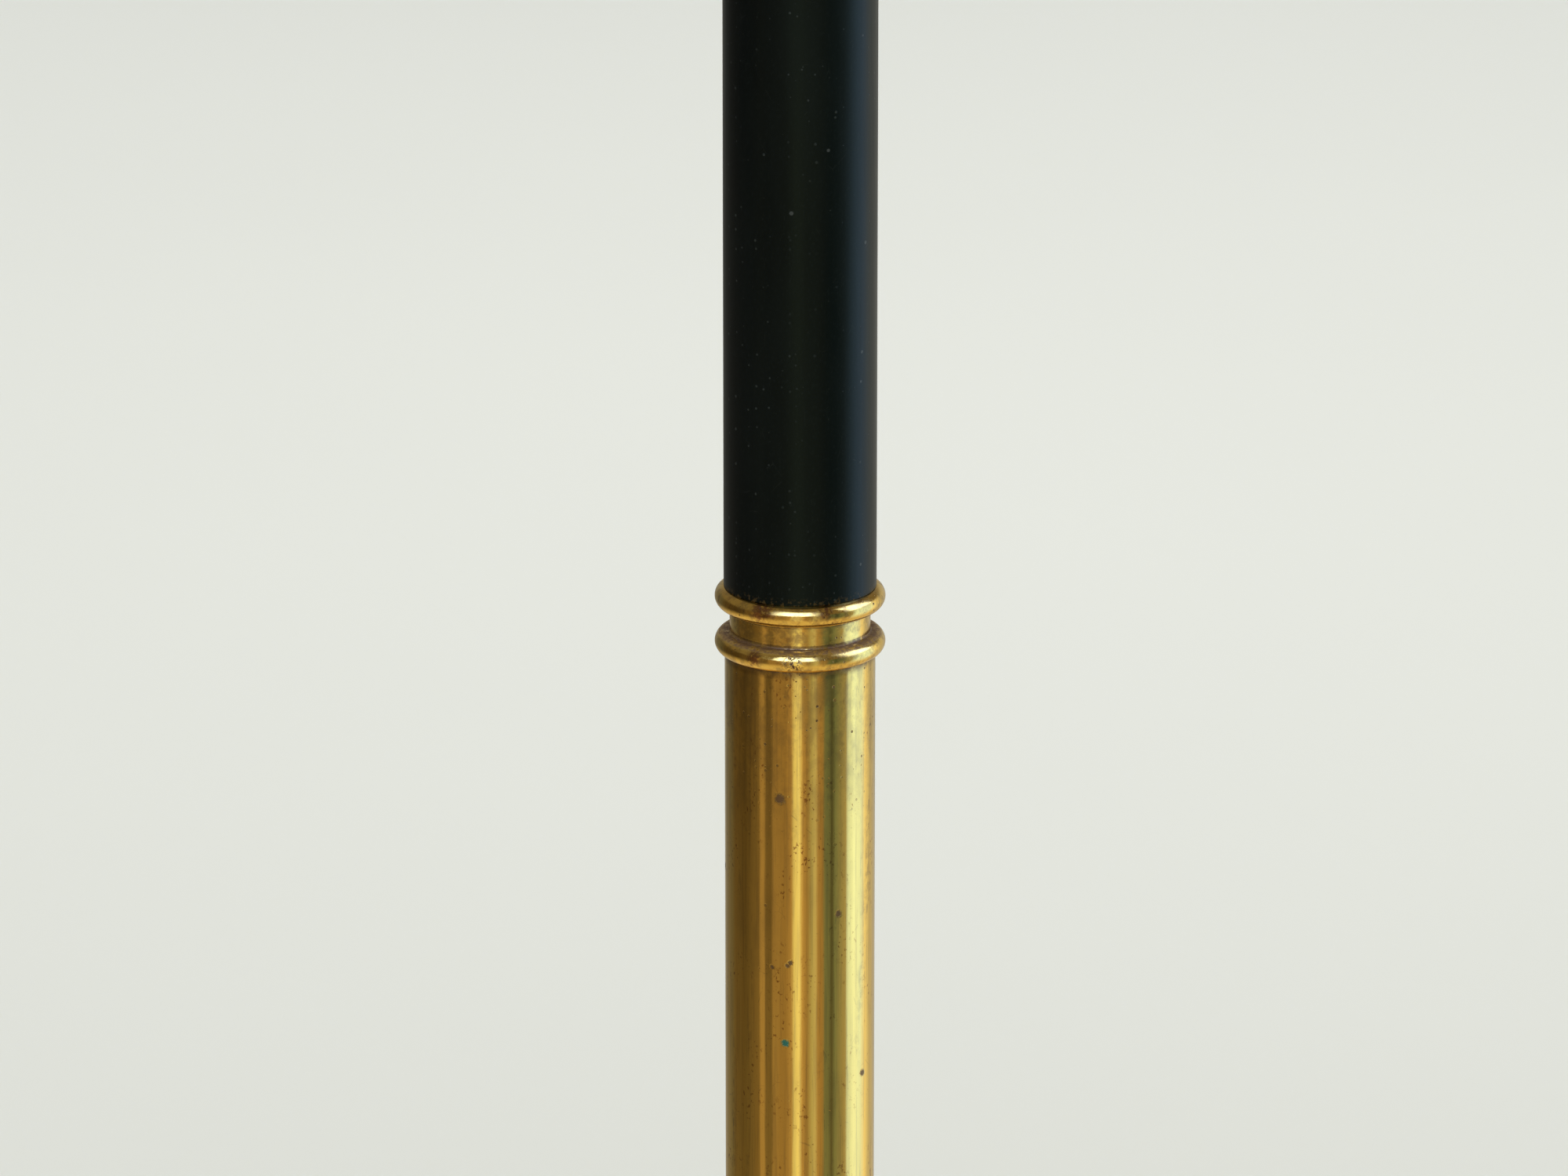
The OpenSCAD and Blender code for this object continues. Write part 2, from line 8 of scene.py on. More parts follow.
import bmesh
import bpy
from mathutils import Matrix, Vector


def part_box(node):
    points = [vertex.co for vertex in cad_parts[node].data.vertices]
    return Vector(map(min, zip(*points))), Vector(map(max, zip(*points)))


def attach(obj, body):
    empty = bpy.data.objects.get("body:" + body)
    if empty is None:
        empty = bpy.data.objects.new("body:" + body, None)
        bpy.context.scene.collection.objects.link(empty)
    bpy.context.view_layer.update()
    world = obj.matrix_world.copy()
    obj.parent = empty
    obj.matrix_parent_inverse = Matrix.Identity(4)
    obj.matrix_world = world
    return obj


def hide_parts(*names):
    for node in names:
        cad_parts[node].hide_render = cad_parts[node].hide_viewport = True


MM = 0.001

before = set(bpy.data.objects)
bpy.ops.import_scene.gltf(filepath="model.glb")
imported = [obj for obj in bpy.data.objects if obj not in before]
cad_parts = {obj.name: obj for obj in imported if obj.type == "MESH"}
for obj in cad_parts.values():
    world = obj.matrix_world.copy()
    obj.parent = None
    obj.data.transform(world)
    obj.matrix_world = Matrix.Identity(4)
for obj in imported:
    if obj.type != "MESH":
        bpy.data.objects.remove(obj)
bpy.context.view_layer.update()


def reach(node):
    """Outer radius, lowest and highest point of a turned CAD node."""
    low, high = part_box(node)
    return high.x, low.z, high.z


# ---- Sizes that the boxes of the CAD nodes don't give

BARREL_WALL = 0.9 * MM
BEAD_R = 2.91 * MM
NECK_DEPTH = 1.55 * MM
NECK_WALL = 1.25 * MM
SPIGOT_LEN = 9 * MM
SMALL_BEAD_R = 2.1 * MM
SUNSHADE_WALL = 1 * MM
GRIP_LEN = 3 * MM
DRAW_1_WALL = 0.9 * MM
DRAW_2_WALL = 0.8 * MM
BUSH_1_WALL = 0.85 * MM
BUSH_2_WALL = 0.8 * MM
SLIDE_GAP = 0.05 * MM
COLLAR_FLANGE_LEN = 3.6 * MM
EYE_HOLE_R = 3.5 * MM

front_r, front_z0, front_z1 = reach("front_barrel")
rear_r, rear_z0, rear_z1 = reach("rear_barrel")
neck_r = rear_r - NECK_DEPTH


# ---- Outlines

def arc(across, up, radius, start, end, step=7.5):
    """Points of a circle's arc. Angles are in degrees: 0 points outwards and 90 up."""
    count = max(2, math.ceil(abs(end - start) / step))
    angles = [math.radians(start + (end - start) * i / count) for i in range(count + 1)]
    return [Vector((across + radius * math.cos(a), up + radius * math.sin(a))) for a in angles]


def rounded(*corners, steps=4):
    """A closed outline of corners (across, up, fillet), each rounded by its own fillet."""
    points = []
    for i, (across, up, fillet) in enumerate(corners):
        here = Vector((across, up))
        back = Vector(corners[i - 1][:2]) - here
        ahead = Vector(corners[(i + 1) % len(corners)][:2]) - here
        cut = min(fillet, 0.45 * back.length, 0.45 * ahead.length)
        if cut == 0:
            points.append(here)
            continue
        start = here + back.normalized() * cut
        end = here + ahead.normalized() * cut
        for k in range(steps + 1):
            t = k / steps
            points.append(start * (1 - t) ** 2 + here * 2 * t * (1 - t) + end * t ** 2)
    return points


def tube_outline(inner, outer, low, high, fillet=0.2 * MM):
    """The closed outline of a plain tube's wall."""
    return rounded(
        (inner, low, fillet),
        (outer, low, fillet),
        (outer, high, fillet),
        (inner, high, fillet),
    )


def groove(across, up, half_width, depth):
    """A narrow V cut into an outer wall, from its lower edge to its upper one."""
    return [
        Vector((across, up - half_width)),
        Vector((across - depth, up)),
        Vector((across, up + half_width)),
    ]


def filled(outline, longest):
    """The outline with points added, so that no stretch is longer than that."""
    points = []
    for here, ahead in zip(outline, outline[1:] + outline[:1]):
        count = max(1, math.ceil((ahead - here).length / longest))
        points += [here.lerp(ahead, i / count) for i in range(count)]
    return points


# ---- Turned pieces

# How far along the axis a bead or seam reaches with its dirt and painted shade, and how deep a hollow
# is where these begin and where they are at their darkest
SHADE_AND_GRIME_REACH = 1.2 * MM
UNSHADED_CLEAN_DEPTH = 0.5 * MM
FULL_SHADE_AND_DIRT_DEPTH = 1.6 * MM

# How far in from the outermost point a milled grip still cuts
MILL_REACH = 1.5 * MM


def hollowness(point, outline):
    """How deep a point lies between the parts of the outline that stand out just above and below it."""
    return max(p.x for p in outline if abs(p.y - point.y) < SHADE_AND_GRIME_REACH) - point.x


def grime_and_shade_at(point, outline, seams):
    """From 0, clean and unshaded, to 1, where dirt gathers and shade is painted: in hollows, and along
    the seams with other pieces.
    """
    hollow = (hollowness(point, outline) - UNSHADED_CLEAN_DEPTH) / (FULL_SHADE_AND_DIRT_DEPTH - UNSHADED_CLEAN_DEPTH)
    near = max([1 - abs(point.y - seam) / SHADE_AND_GRIME_REACH for seam in seams], default=0)
    return min(1, max(0, hollow, near))


def turn(name, outline, finish, slot, body, nodes, seams=(), wiped=math.inf, mill=None, segments=192,
         longest=2 * MM):
    """Turns a closed outline about the optical axis, to stand for these CAD nodes.

    Above the height wiped the piece has no dirt and no painted shade. mill is (lowest, highest, depth,
    teeth) of a milled grip on the outside.
    """
    outline = filled(outline, longest)
    outermost = max(p.x for p in outline)
    dirt_and_shade = [grime_and_shade_at(p, outline, seams) if p.y < wiped else 0 for p in outline]
    if mill:
        segments = 6 * mill[3]
    vertices = []
    grime_and_shade = []
    for s in range(segments):
        angle = 2 * math.pi * s / segments
        grime_and_shade += dirt_and_shade
        for p in outline:
            across = p.x
            if mill and mill[0] <= p.y <= mill[1] and p.x > outermost - MILL_REACH:
                across -= mill[2] * (0.5 + 0.5 * math.cos(mill[3] * angle))
            vertices.append((across * math.cos(angle), across * math.sin(angle), p.y))
    count = len(outline)
    faces = []
    for s in range(segments):
        ring = s * count
        next_ring = (s + 1) % segments * count
        for i in range(count):
            j = (i + 1) % count
            faces.append((ring + i, next_ring + i, next_ring + j, ring + j))
    mesh = bpy.data.meshes.new(name)
    mesh.from_pydata(vertices, [], faces)
    # The grime attribute holds real dirt and painted shade together: 1 in hollows and along seams
    mesh.attributes.new("grime_and_shade", "FLOAT", "POINT").data.foreach_set("value", grime_and_shade)
    return placed(name, mesh, finish, body, nodes)


def placed(name, mesh, finish, body, nodes):
    """Closes and smooths a mesh, and makes it a piece that rides on a body and stands for CAD nodes."""
    cleaned = bmesh.new()
    cleaned.from_mesh(mesh)
    bmesh.ops.remove_doubles(cleaned, verts=cleaned.verts, dist=0.001 * MM)
    bmesh.ops.recalc_face_normals(cleaned, faces=cleaned.faces)
    for face in cleaned.faces:
        face.smooth = True
    cleaned.to_mesh(mesh)
    cleaned.free()
    mesh.set_sharp_from_angle(angle=math.radians(35))
    mesh.materials.append(finish)
    piece = bpy.data.objects.new(name, mesh)
    bpy.context.scene.collection.objects.link(piece)
    weighted = piece.modifiers.new("even shading", "WEIGHTED_NORMAL")
    weighted.keep_sharp = True
    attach(piece, body)
    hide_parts(*nodes)
    return piece


# ---- Materials

class Paint:
    """Builds one procedural material in the object's own space, so that it moves with the piece."""

    def __init__(self, name):
        self.material = bpy.data.materials.new(name)
        self.material.use_nodes = True
        self.tree = self.material.node_tree
        self.shader = self.tree.nodes["Principled BSDF"]
        self.place = self.node("ShaderNodeTexCoord").outputs["Object"]

    def node(self, kind, inputs=None, **settings):
        """A node with its settings and inputs. An input is a value or another node's socket."""
        made = self.tree.nodes.new(kind)
        for name, value in settings.items():
            setattr(made, name, value)
        for name, value in (inputs or {}).items():
            self.feed(made.inputs[name], value)
        return made

    def feed(self, socket, value):
        if isinstance(value, bpy.types.NodeSocket):
            self.tree.links.new(value, socket)
        else:
            socket.default_value = value

    def stretched(self, stretch, offset=0):
        """Object coordinates scaled by stretch, and moved by offset to get another pattern."""
        mapping = self.node("ShaderNodeMapping", {"Vector": self.place, "Scale": stretch})
        mapping.inputs["Location"].default_value = (offset, offset, offset)
        return mapping.outputs["Vector"]

    def noise(self, size, stretch=(1, 1, 1), detail=4.0, offset=0):
        """Cloudy noise whose features are about that size."""
        made = self.node("ShaderNodeTexNoise", {
            "Vector": self.stretched(stretch, offset),
            "Scale": 1 / size,
            "Detail": detail,
            "Roughness": 0.6,
        })
        return made.outputs["Fac"]

    def ramp(self, value, low, high, to_low=0.0, to_high=1.0):
        """A smooth step: to_low where value is at most low, to_high where it is at least high."""
        made = self.node("ShaderNodeMapRange", {
            "Value": value,
            "From Min": low,
            "From Max": high,
            "To Min": to_low,
            "To Max": to_high,
        }, interpolation_type="SMOOTHSTEP")
        return made.outputs["Result"]

    def math(self, operation, a, b):
        made = self.node("ShaderNodeMath", operation=operation)
        self.feed(made.inputs[0], a)
        self.feed(made.inputs[1], b)
        return made.outputs[0]

    def times(self, *values):
        product = values[0]
        for value in values[1:]:
            product = self.math("MULTIPLY", product, value)
        return product

    def most(self, *values):
        largest = values[0]
        for value in values[1:]:
            largest = self.math("MAXIMUM", largest, value)
        return largest

    def mix(self, factor, first, second):
        """First colour where factor is 0, second where it is 1."""
        made = self.node("ShaderNodeMix", data_type="RGBA")
        self.feed(made.inputs[0], factor)
        for socket, colour in ((made.inputs[6], first), (made.inputs[7], second)):
            self.feed(socket, colour if isinstance(colour, bpy.types.NodeSocket) else (*colour, 1))
        return made.outputs[2]

    def specks(self, spacing, size, share, offset=0):
        """Round specks of about that size, in a share of cells that are spacing apart."""
        cells = self.node("ShaderNodeTexVoronoi", {
            "Vector": self.stretched((1, 1, 1), offset),
            "Scale": 1 / spacing,
            "Randomness": 1.0,
        })
        chance = self.node("ShaderNodeSeparateColor", {"Color": cells.outputs["Color"]})
        chosen = self.ramp(chance.outputs[0], 1 - share, 1 - share + 0.02)
        grown = self.math("MULTIPLY", chance.outputs[1], size / spacing)
        edge = self.math("SUBTRACT", grown, cells.outputs["Distance"])
        return self.times(chosen, self.ramp(edge, 0, 0.25 * size / spacing))

    def scratches(self, spacing, width, stretch, offset=0):
        """Thin broken lines along the edges of stretched cells."""
        cells = self.node("ShaderNodeTexVoronoi", {
            "Vector": self.stretched(stretch, offset),
            "Scale": 1 / spacing,
        }, feature="DISTANCE_TO_EDGE")
        line = self.ramp(cells.outputs["Distance"], 0, width / spacing, 1, 0)
        return self.times(line, self.ramp(self.noise(4 * MM, offset=offset + 3), 0.55, 0.66))

    def spot(self, angle, height, size, radius):
        """A ragged mark of about that size. Its angle is in degrees to the right of the front."""
        turned = math.radians(angle)
        centre = (radius * math.sin(turned), -radius * math.cos(turned), height)
        away = self.node("ShaderNodeVectorMath", {0: self.place, 1: centre}, operation="DISTANCE")
        ragged = self.times(self.noise(0.8 * MM, detail=5, offset=5), 1.4 * size)
        return self.ramp(self.math("ADD", away.outputs["Value"], ragged), 1.2 * size, 1.9 * size, 1, 0)

    def facing_up(self):
        """1 on faces that look up, where dust settles, and 0 on those that look down."""
        normal = self.node("ShaderNodeTexCoord").outputs["Normal"]
        up = self.node("ShaderNodeSeparateXYZ", {"Vector": normal}).outputs["Z"]
        return self.ramp(up, -0.1, 0.5)

    # Reads the mesh's mask of dirt and painted shade, highest in hollows and along seams
    def grime_and_shade(self):
        return self.node("ShaderNodeAttribute", attribute_name="grime_and_shade").outputs["Fac"]

    def bumps(self, *layers):
        """Relief from (height, depth in metres) layers. A height goes from 0 to 1."""
        normal = None
        for height, depth in layers:
            bump = self.node("ShaderNodeBump", {"Height": height, "Strength": 1.0, "Distance": depth})
            if normal:
                self.feed(bump.inputs["Normal"], normal)
            normal = bump.outputs["Normal"]
        self.feed(self.shader.inputs["Normal"], normal)

    def finish(self, colour, roughness, **constants):
        self.feed(self.shader.inputs["Base Color"], colour)
        self.feed(self.shader.inputs["Roughness"], roughness)
        for name, value in constants.items():
            self.shader.inputs[name.replace("_", " ")].default_value = value
        return self.material


# Colours, as linear red, green and blue
CLEAN_BRASS = (0.85, 0.58, 0.14)
WARM_BRASS = (0.76, 0.47, 0.10)
TARNISH = (0.36, 0.25, 0.09)
# Dark brown for pits and spots, and also for the painted shade in hollows and along seams
BROWN_SPOT_AND_SHADE = (0.12, 0.065, 0.04)
RUST = (0.32, 0.15, 0.04)
VERDIGRIS = (0.06, 0.23, 0.17)
BURNT = (0.24, 0.10, 0.05)
DUST = (0.20, 0.11, 0.045)

DEEP_LACQUER = (0.0008, 0.0026, 0.0044)
FADED_LACQUER = (0.0018, 0.0040, 0.0058)
WOVEN_LACQUER = (0.0050, 0.0078, 0.0090)
LACQUER_SHEEN = (0.72, 0.88, 0.52, 1)
FINE_DUST = (0.06, 0.07, 0.07)
LINT = (0.12, 0.13, 0.13)
HAIRLINE = (0.05, 0.055, 0.05)
CHIPPED = (0.10, 0.06, 0.02)

OPTICAL_BLACK = (0.012, 0.011, 0.010)
WORN_BLACK = (0.028, 0.024, 0.020)
RUBBED_THROUGH = (0.16, 0.09, 0.03)

GLASS = (0.93, 0.98, 0.955)
DUSTY_GLASS = (0.6, 0.6, 0.55)

DEEP_FELT = (0.16, 0.012, 0.018)
FADED_FELT = (0.27, 0.035, 0.035)
FELT_FIBRE = (0.38, 0.09, 0.08)

FLOOR_LOW = (0.795, 0.80, 0.755)
FLOOR_HIGH = (0.81, 0.815, 0.77)

# Stretches that turn a noise into lines along the tubes, or round them
LENGTHWISE = (1, 1, 0.03)
ROUND = (0.03, 0.03, 1)

# Marks on the front barrel: degrees to the right of its front, height and size
BROWN_MARKS = (
    (-15.4, front_z0 + 165.2 * MM, 1.7 * MM),
    (-84, front_z0 + 141.1 * MM, 1.0 * MM),
    (30.9, front_z0 + 132.8 * MM, 1.1 * MM),
    (-7.5, front_z0 + 120 * MM, 0.8 * MM),
    (-9.5, front_z0 + 119.2 * MM, 0.7 * MM),
    (-21.7, front_z0 + 118.5 * MM, 0.7 * MM),
    (56.6, front_z0 + 86.3 * MM, 1.1 * MM),
)
GREEN_MARK = (-11.1, front_z0 + 97.6 * MM, 1.2 * MM)

# The same on the joint collar's beads, and how far these marks lie from the axis
BURNT_MARKS = (
    (-27, rear_z0 - 1.6 * MM, 3.2 * MM),
    (18, rear_z0 - 1.2 * MM, 2.2 * MM),
    (-33, front_z1 + 3.6 * MM, 2.4 * MM),
)
BURNT_R = rear_r + 1.5 * MM
PITTED_MARK = (-5, front_z1 + 3 * MM, 3.4 * MM)
PITTED_R = rear_r + 2 * MM


def drawn_brass():
    """Old polished tube: drawing lines along it, patina clouds, pits, brown spots, verdigris, and dirt
    with painted shade along its seams.
    """
    paint = Paint("drawn_brass")
    height = paint.node("ShaderNodeSeparateXYZ", {"Vector": paint.place}).outputs["Z"]
    near_joint = paint.ramp(height, front_z1 - 65 * MM, front_z1 - 5 * MM)
    lines = paint.noise(0.5 * MM, LENGTHWISE, detail=6)
    ribs = paint.noise(1.3 * MM, LENGTHWISE, detail=4, offset=33)
    bands = paint.noise(6 * MM, LENGTHWISE, detail=3, offset=2)
    clouds = paint.noise(14 * MM, (1, 1, 0.4), detail=9, offset=7)
    mottle = paint.noise(1.8 * MM, (1, 1, 0.7), detail=8, offset=11)
    smudges = paint.noise(7 * MM, (1, 1, 0.45), detail=5, offset=17)
    pits = paint.specks(1.5 * MM, 0.5 * MM, 0.5, offset=1)
    pitted = paint.most(
        paint.ramp(clouds, 0.55, 0.72),
        paint.times(near_joint, paint.ramp(smudges, 0.4, 0.55)),
    )
    few_pits = paint.times(pits, pitted)
    blotches = paint.specks(16 * MM, 1.1 * MM, 0.4, offset=3)
    green_dots = paint.specks(24 * MM, 0.7 * MM, 0.3, offset=6)
    stains = paint.times(
        paint.ramp(paint.noise(5 * MM, (1, 1, 0.12), detail=8, offset=15), 0.55, 0.7),
        paint.ramp(mottle, 0.4, 0.6),
    )
    marks = paint.most(*[paint.spot(*mark, front_r) for mark in BROWN_MARKS])
    green_mark = paint.spot(*GREEN_MARK, front_r)
    flecks = paint.times(
        paint.ramp(paint.noise(0.9 * MM, (1, 1, 0.7), detail=4, offset=31), 0.58, 0.65),
        paint.ramp(paint.noise(9 * MM, (1, 1, 0.5), detail=6, offset=27), 0.48, 0.62),
    )
    scratches = paint.most(
        paint.scratches(9 * MM, 0.09 * MM, (1, 1, 0.35), offset=21),
        paint.scratches(5 * MM, 0.07 * MM, (1, 1, 1.4), offset=25),
    )
    # Dark brown in hollows and along the seams: dirt, and painted shade where the pieces meet
    dirt_and_shade = paint.times(paint.grime_and_shade(), paint.ramp(mottle, 0.25, 0.55, 0.4, 1))

    colour = paint.mix(paint.ramp(bands, 0.4, 0.65, 0, 0.5), CLEAN_BRASS, WARM_BRASS)
    colour = paint.mix(paint.ramp(ribs, 0.5, 0.66, 0, 0.32), colour, TARNISH)
    colour = paint.mix(paint.ramp(clouds, 0.5, 0.75, 0, 0.35), colour, TARNISH)
    colour = paint.mix(paint.times(near_joint, paint.ramp(smudges, 0.42, 0.65), 0.5), colour, TARNISH)
    colour = paint.mix(paint.times(near_joint, paint.ramp(mottle, 0.45, 0.65), 0.3), colour, TARNISH)
    colour = paint.mix(paint.times(stains, 0.6), colour, TARNISH)
    colour = paint.mix(paint.ramp(lines, 0.55, 0.75, 0, 0.35), colour, TARNISH)
    colour = paint.mix(paint.times(scratches, 0.6), colour, TARNISH)
    colour = paint.mix(paint.times(flecks, 0.9), colour, RUST)
    colour = paint.mix(paint.times(paint.most(few_pits, blotches, marks), 0.85), colour, BROWN_SPOT_AND_SHADE)
    colour = paint.mix(paint.most(green_dots, green_mark), colour, VERDIGRIS)
    colour = paint.mix(dirt_and_shade, colour, BROWN_SPOT_AND_SHADE)

    worn = paint.most(few_pits, blotches, marks, green_dots, green_mark, dirt_and_shade)
    dull = paint.times(near_joint, paint.ramp(smudges, 0.35, 0.65, 0.0, 0.13))
    polish = paint.math("ADD", paint.ramp(clouds, 0.35, 0.75, 0.02, 0.06), dull)
    polish = paint.math("ADD", polish, paint.ramp(lines, 0.3, 0.7, 0, 0.02))
    roughness = paint.most(polish, paint.times(worn, 0.55))
    smooth = paint.math("SUBTRACT", 1.0, worn)
    paint.bumps(
        (lines, 0.003 * MM),
        (ribs, 0.007 * MM),
        (bands, 0.014 * MM),
        (mottle, 0.004 * MM),
        (smooth, 0.03 * MM),
    )
    return paint.finish(colour, roughness, Metallic=1.0)


def turned_brass():
    """Lathe-turned brass: fine lines round it, tarnish, dust and painted shade in its hollows, and
    pits.
    """
    paint = Paint("turned_brass")
    lines = paint.noise(0.25 * MM, ROUND, detail=5)
    clouds = paint.noise(9 * MM, detail=9, offset=4)
    mottle = paint.noise(1.2 * MM, detail=8, offset=9)
    low_bead = paint.spot(*PITTED_MARK, PITTED_R)
    rash = paint.times(low_bead, paint.ramp(paint.noise(0.8 * MM, detail=4, offset=5), 0.49, 0.58))
    pits = paint.times(paint.specks(1.1 * MM, 0.4 * MM, 0.5, offset=2), paint.ramp(clouds, 0.5, 0.62))
    pits = paint.most(pits, rash)
    green_dots = paint.specks(20 * MM, 0.6 * MM, 0.35, offset=8)
    stains = paint.ramp(paint.noise(5 * MM, detail=6, offset=12), 0.42, 0.58)
    burnt = paint.most(
        paint.times(paint.ramp(paint.noise(4 * MM, detail=7, offset=19), 0.54, 0.63), 0.45),
        *[paint.spot(*mark, BURNT_R) for mark in BURNT_MARKS],
    )
    grime_and_shade = paint.grime_and_shade()
    dusty = paint.times(
        paint.ramp(grime_and_shade, 0.02, 0.4),
        paint.facing_up(),
        paint.ramp(mottle, 0.3, 0.6, 0.35, 0.95),
    )
    # Brown in the deepest hollows: packed dirt, and painted shade where light hardly reaches
    packed_dirt_and_shade = paint.times(paint.ramp(grime_and_shade, 0.9, 1), paint.ramp(mottle, 0.2, 0.6, 0.2, 0.6))

    colour = paint.mix(paint.ramp(clouds, 0.4, 0.7, 0, 0.55), CLEAN_BRASS, WARM_BRASS)
    colour = paint.mix(paint.times(stains, paint.ramp(mottle, 0.35, 0.6), 0.6), colour, TARNISH)
    colour = paint.mix(paint.times(burnt, paint.ramp(mottle, 0.36, 0.54, 0.1, 0.85)), colour, BURNT)
    colour = paint.mix(dusty, colour, DUST)
    colour = paint.mix(paint.most(pits, packed_dirt_and_shade), colour, BROWN_SPOT_AND_SHADE)
    colour = paint.mix(green_dots, colour, VERDIGRIS)

    worn = paint.most(pits, green_dots, dusty)
    polish = paint.math(
        "ADD",
        paint.ramp(mottle, 0.35, 0.65, 0.06, 0.2),
        paint.ramp(lines, 0.3, 0.7, 0, 0.04),
    )
    roughness = paint.most(polish, paint.times(stains, 0.24), paint.times(worn, 0.6))
    smooth = paint.math("SUBTRACT", 1.0, worn)
    paint.bumps(
        (lines, 0.003 * MM),
        (mottle, 0.007 * MM),
        (smooth, 0.03 * MM),
    )
    paint.feed(paint.shader.inputs["Metallic"], paint.math("SUBTRACT", 1.0, paint.times(dusty, 0.9)))
    return paint.finish(colour, roughness)


def black_lacquer():
    """Satin black lacquer with a faint ripple, dust specks, hairlines and rubbed patches."""
    paint = Paint("black_lacquer")
    ripple = paint.noise(0.7 * MM, detail=3)
    clouds = paint.noise(16 * MM, (1, 1, 0.3), detail=8, offset=3)
    brushed = paint.noise(0.8 * MM, LENGTHWISE, detail=5, offset=5)
    weave = paint.noise(0.5 * MM, (1, 1, 0.5), detail=3, offset=8)
    dust = paint.specks(1.7 * MM, 0.45 * MM, 0.4, offset=2)
    big_dust = paint.specks(9 * MM, 0.8 * MM, 0.4, offset=9)
    hairlines = paint.scratches(7 * MM, 0.04 * MM, (1, 1, 0.5), offset=13)
    chips = paint.times(paint.grime_and_shade(), paint.ramp(paint.noise(1.1 * MM, detail=6, offset=4), 0.52, 0.6))

    colour = paint.mix(paint.ramp(clouds, 0.35, 0.7), DEEP_LACQUER, FADED_LACQUER)
    colour = paint.mix(paint.ramp(weave, 0.5, 0.75, 0, 0.7), colour, WOVEN_LACQUER)
    colour = paint.mix(paint.times(dust, paint.ramp(clouds, 0.4, 0.6, 0.1, 0.4)), colour, FINE_DUST)
    colour = paint.mix(paint.times(big_dust, 0.4), colour, LINT)
    colour = paint.mix(paint.times(hairlines, 0.3), colour, HAIRLINE)
    colour = paint.mix(paint.times(chips, 0.8), colour, CHIPPED)

    roughness = paint.math(
        "ADD",
        paint.ramp(clouds, 0.3, 0.7, 0.29, 0.36),
        paint.ramp(brushed, 0.3, 0.7, 0, 0.05),
    )
    paint.bumps((ripple, 0.006 * MM), (brushed, 0.004 * MM), (dust, 0.02 * MM))
    return paint.finish(colour, roughness, IOR=1.28, Specular_Tint=LACQUER_SHEEN)


def blackened_brass():
    """Brass that was blackened against stray light, rubbed through a little."""
    paint = Paint("blackened_brass")
    clouds = paint.noise(5 * MM, detail=8)
    grain = paint.noise(0.3 * MM, detail=4, offset=3)
    rubbed = paint.ramp(clouds, 0.58, 0.7, 0, 0.5)
    colour = paint.mix(paint.ramp(grain, 0.3, 0.7), OPTICAL_BLACK, WORN_BLACK)
    colour = paint.mix(rubbed, colour, RUBBED_THROUGH)
    paint.bumps((grain, 0.01 * MM))
    return paint.finish(colour, paint.ramp(clouds, 0.3, 0.7, 0.62, 0.42), Metallic=0.6)


def lens_glass():
    """Old crown glass, faintly green, with a breath of haze and dust on it."""
    paint = Paint("lens_glass")
    haze = paint.noise(7 * MM, detail=6)
    dust = paint.specks(3 * MM, 0.16 * MM, 0.4)
    colour = paint.mix(paint.times(dust, 0.5), GLASS, DUSTY_GLASS)
    roughness = paint.most(paint.ramp(haze, 0.4, 0.75, 0.0, 0.05), paint.times(dust, 0.4))
    paint.bumps((dust, 0.003 * MM))
    return paint.finish(colour, roughness, IOR=1.52, Transmission_Weight=1.0)


def red_felt():
    """Faded red felt: matted fibres with a soft sheen."""
    paint = Paint("red_felt")
    fibres = paint.noise(0.35 * MM, detail=8)
    matting = paint.noise(3 * MM, detail=6, offset=2)
    faded = paint.ramp(matting, 0.35, 0.7)
    colour = paint.mix(faded, DEEP_FELT, FADED_FELT)
    colour = paint.mix(paint.ramp(fibres, 0.55, 0.75, 0, 0.5), colour, FELT_FIBRE)
    paint.bumps((fibres, 0.15 * MM), (matting, 0.2 * MM))
    return paint.finish(colour, paint.ramp(fibres, 0.3, 0.7, 0.85, 1.0), Sheen_Weight=0.6)


def pale_floor():
    """A plain pale floor with the faintest unevenness."""
    paint = Paint("pale_floor")
    clouds = paint.noise(0.6, detail=3)
    grain = paint.noise(2 * MM, detail=3, offset=2)
    colour = paint.mix(clouds, FLOOR_LOW, FLOOR_HIGH)
    paint.bumps((grain, 0.01 * MM))
    return paint.finish(colour, paint.ramp(clouds, 0.3, 0.7, 0.85, 0.9))


FINISHES = {
    "drawn_brass": drawn_brass(),
    "turned_brass": turned_brass(),
    "black_lacquer": black_lacquer(),
    "blackened_brass": blackened_brass(),
    "lens_glass": lens_glass(),
    "red_felt": red_felt(),
}


def brass(name, outline, body, **options):
    """A turned brass piece that stands for the CAD node of the same name."""
    return turn(name, outline, FINISHES["turned_brass"], "turned_brass", body, [name], **options)


def drawn(name, inner, body, seams=()):
    """A drawn brass tube that stands for the CAD node of the same name."""
    outer, low, high = reach(name)
    outline = tube_outline(inner, outer, low, high)
    return turn(name, outline, FINISHES["drawn_brass"], "drawn_brass", body, [name], seams=seams)


# ---- Barrels and the joint collar

bead_centre_r = reach("joint_collar")[0] - BEAD_R


def bead_edge(radius):
    """Height between a bead's centre plane and the place where it meets a wall of that radius."""
    return math.sqrt(BEAD_R ** 2 - (radius - bead_centre_r) ** 2)


def bead_angle(radius):
    """Angle round a bead's section, above its centre plane, where it meets a wall of that radius."""
    return math.degrees(math.acos((radius - bead_centre_r) / BEAD_R))


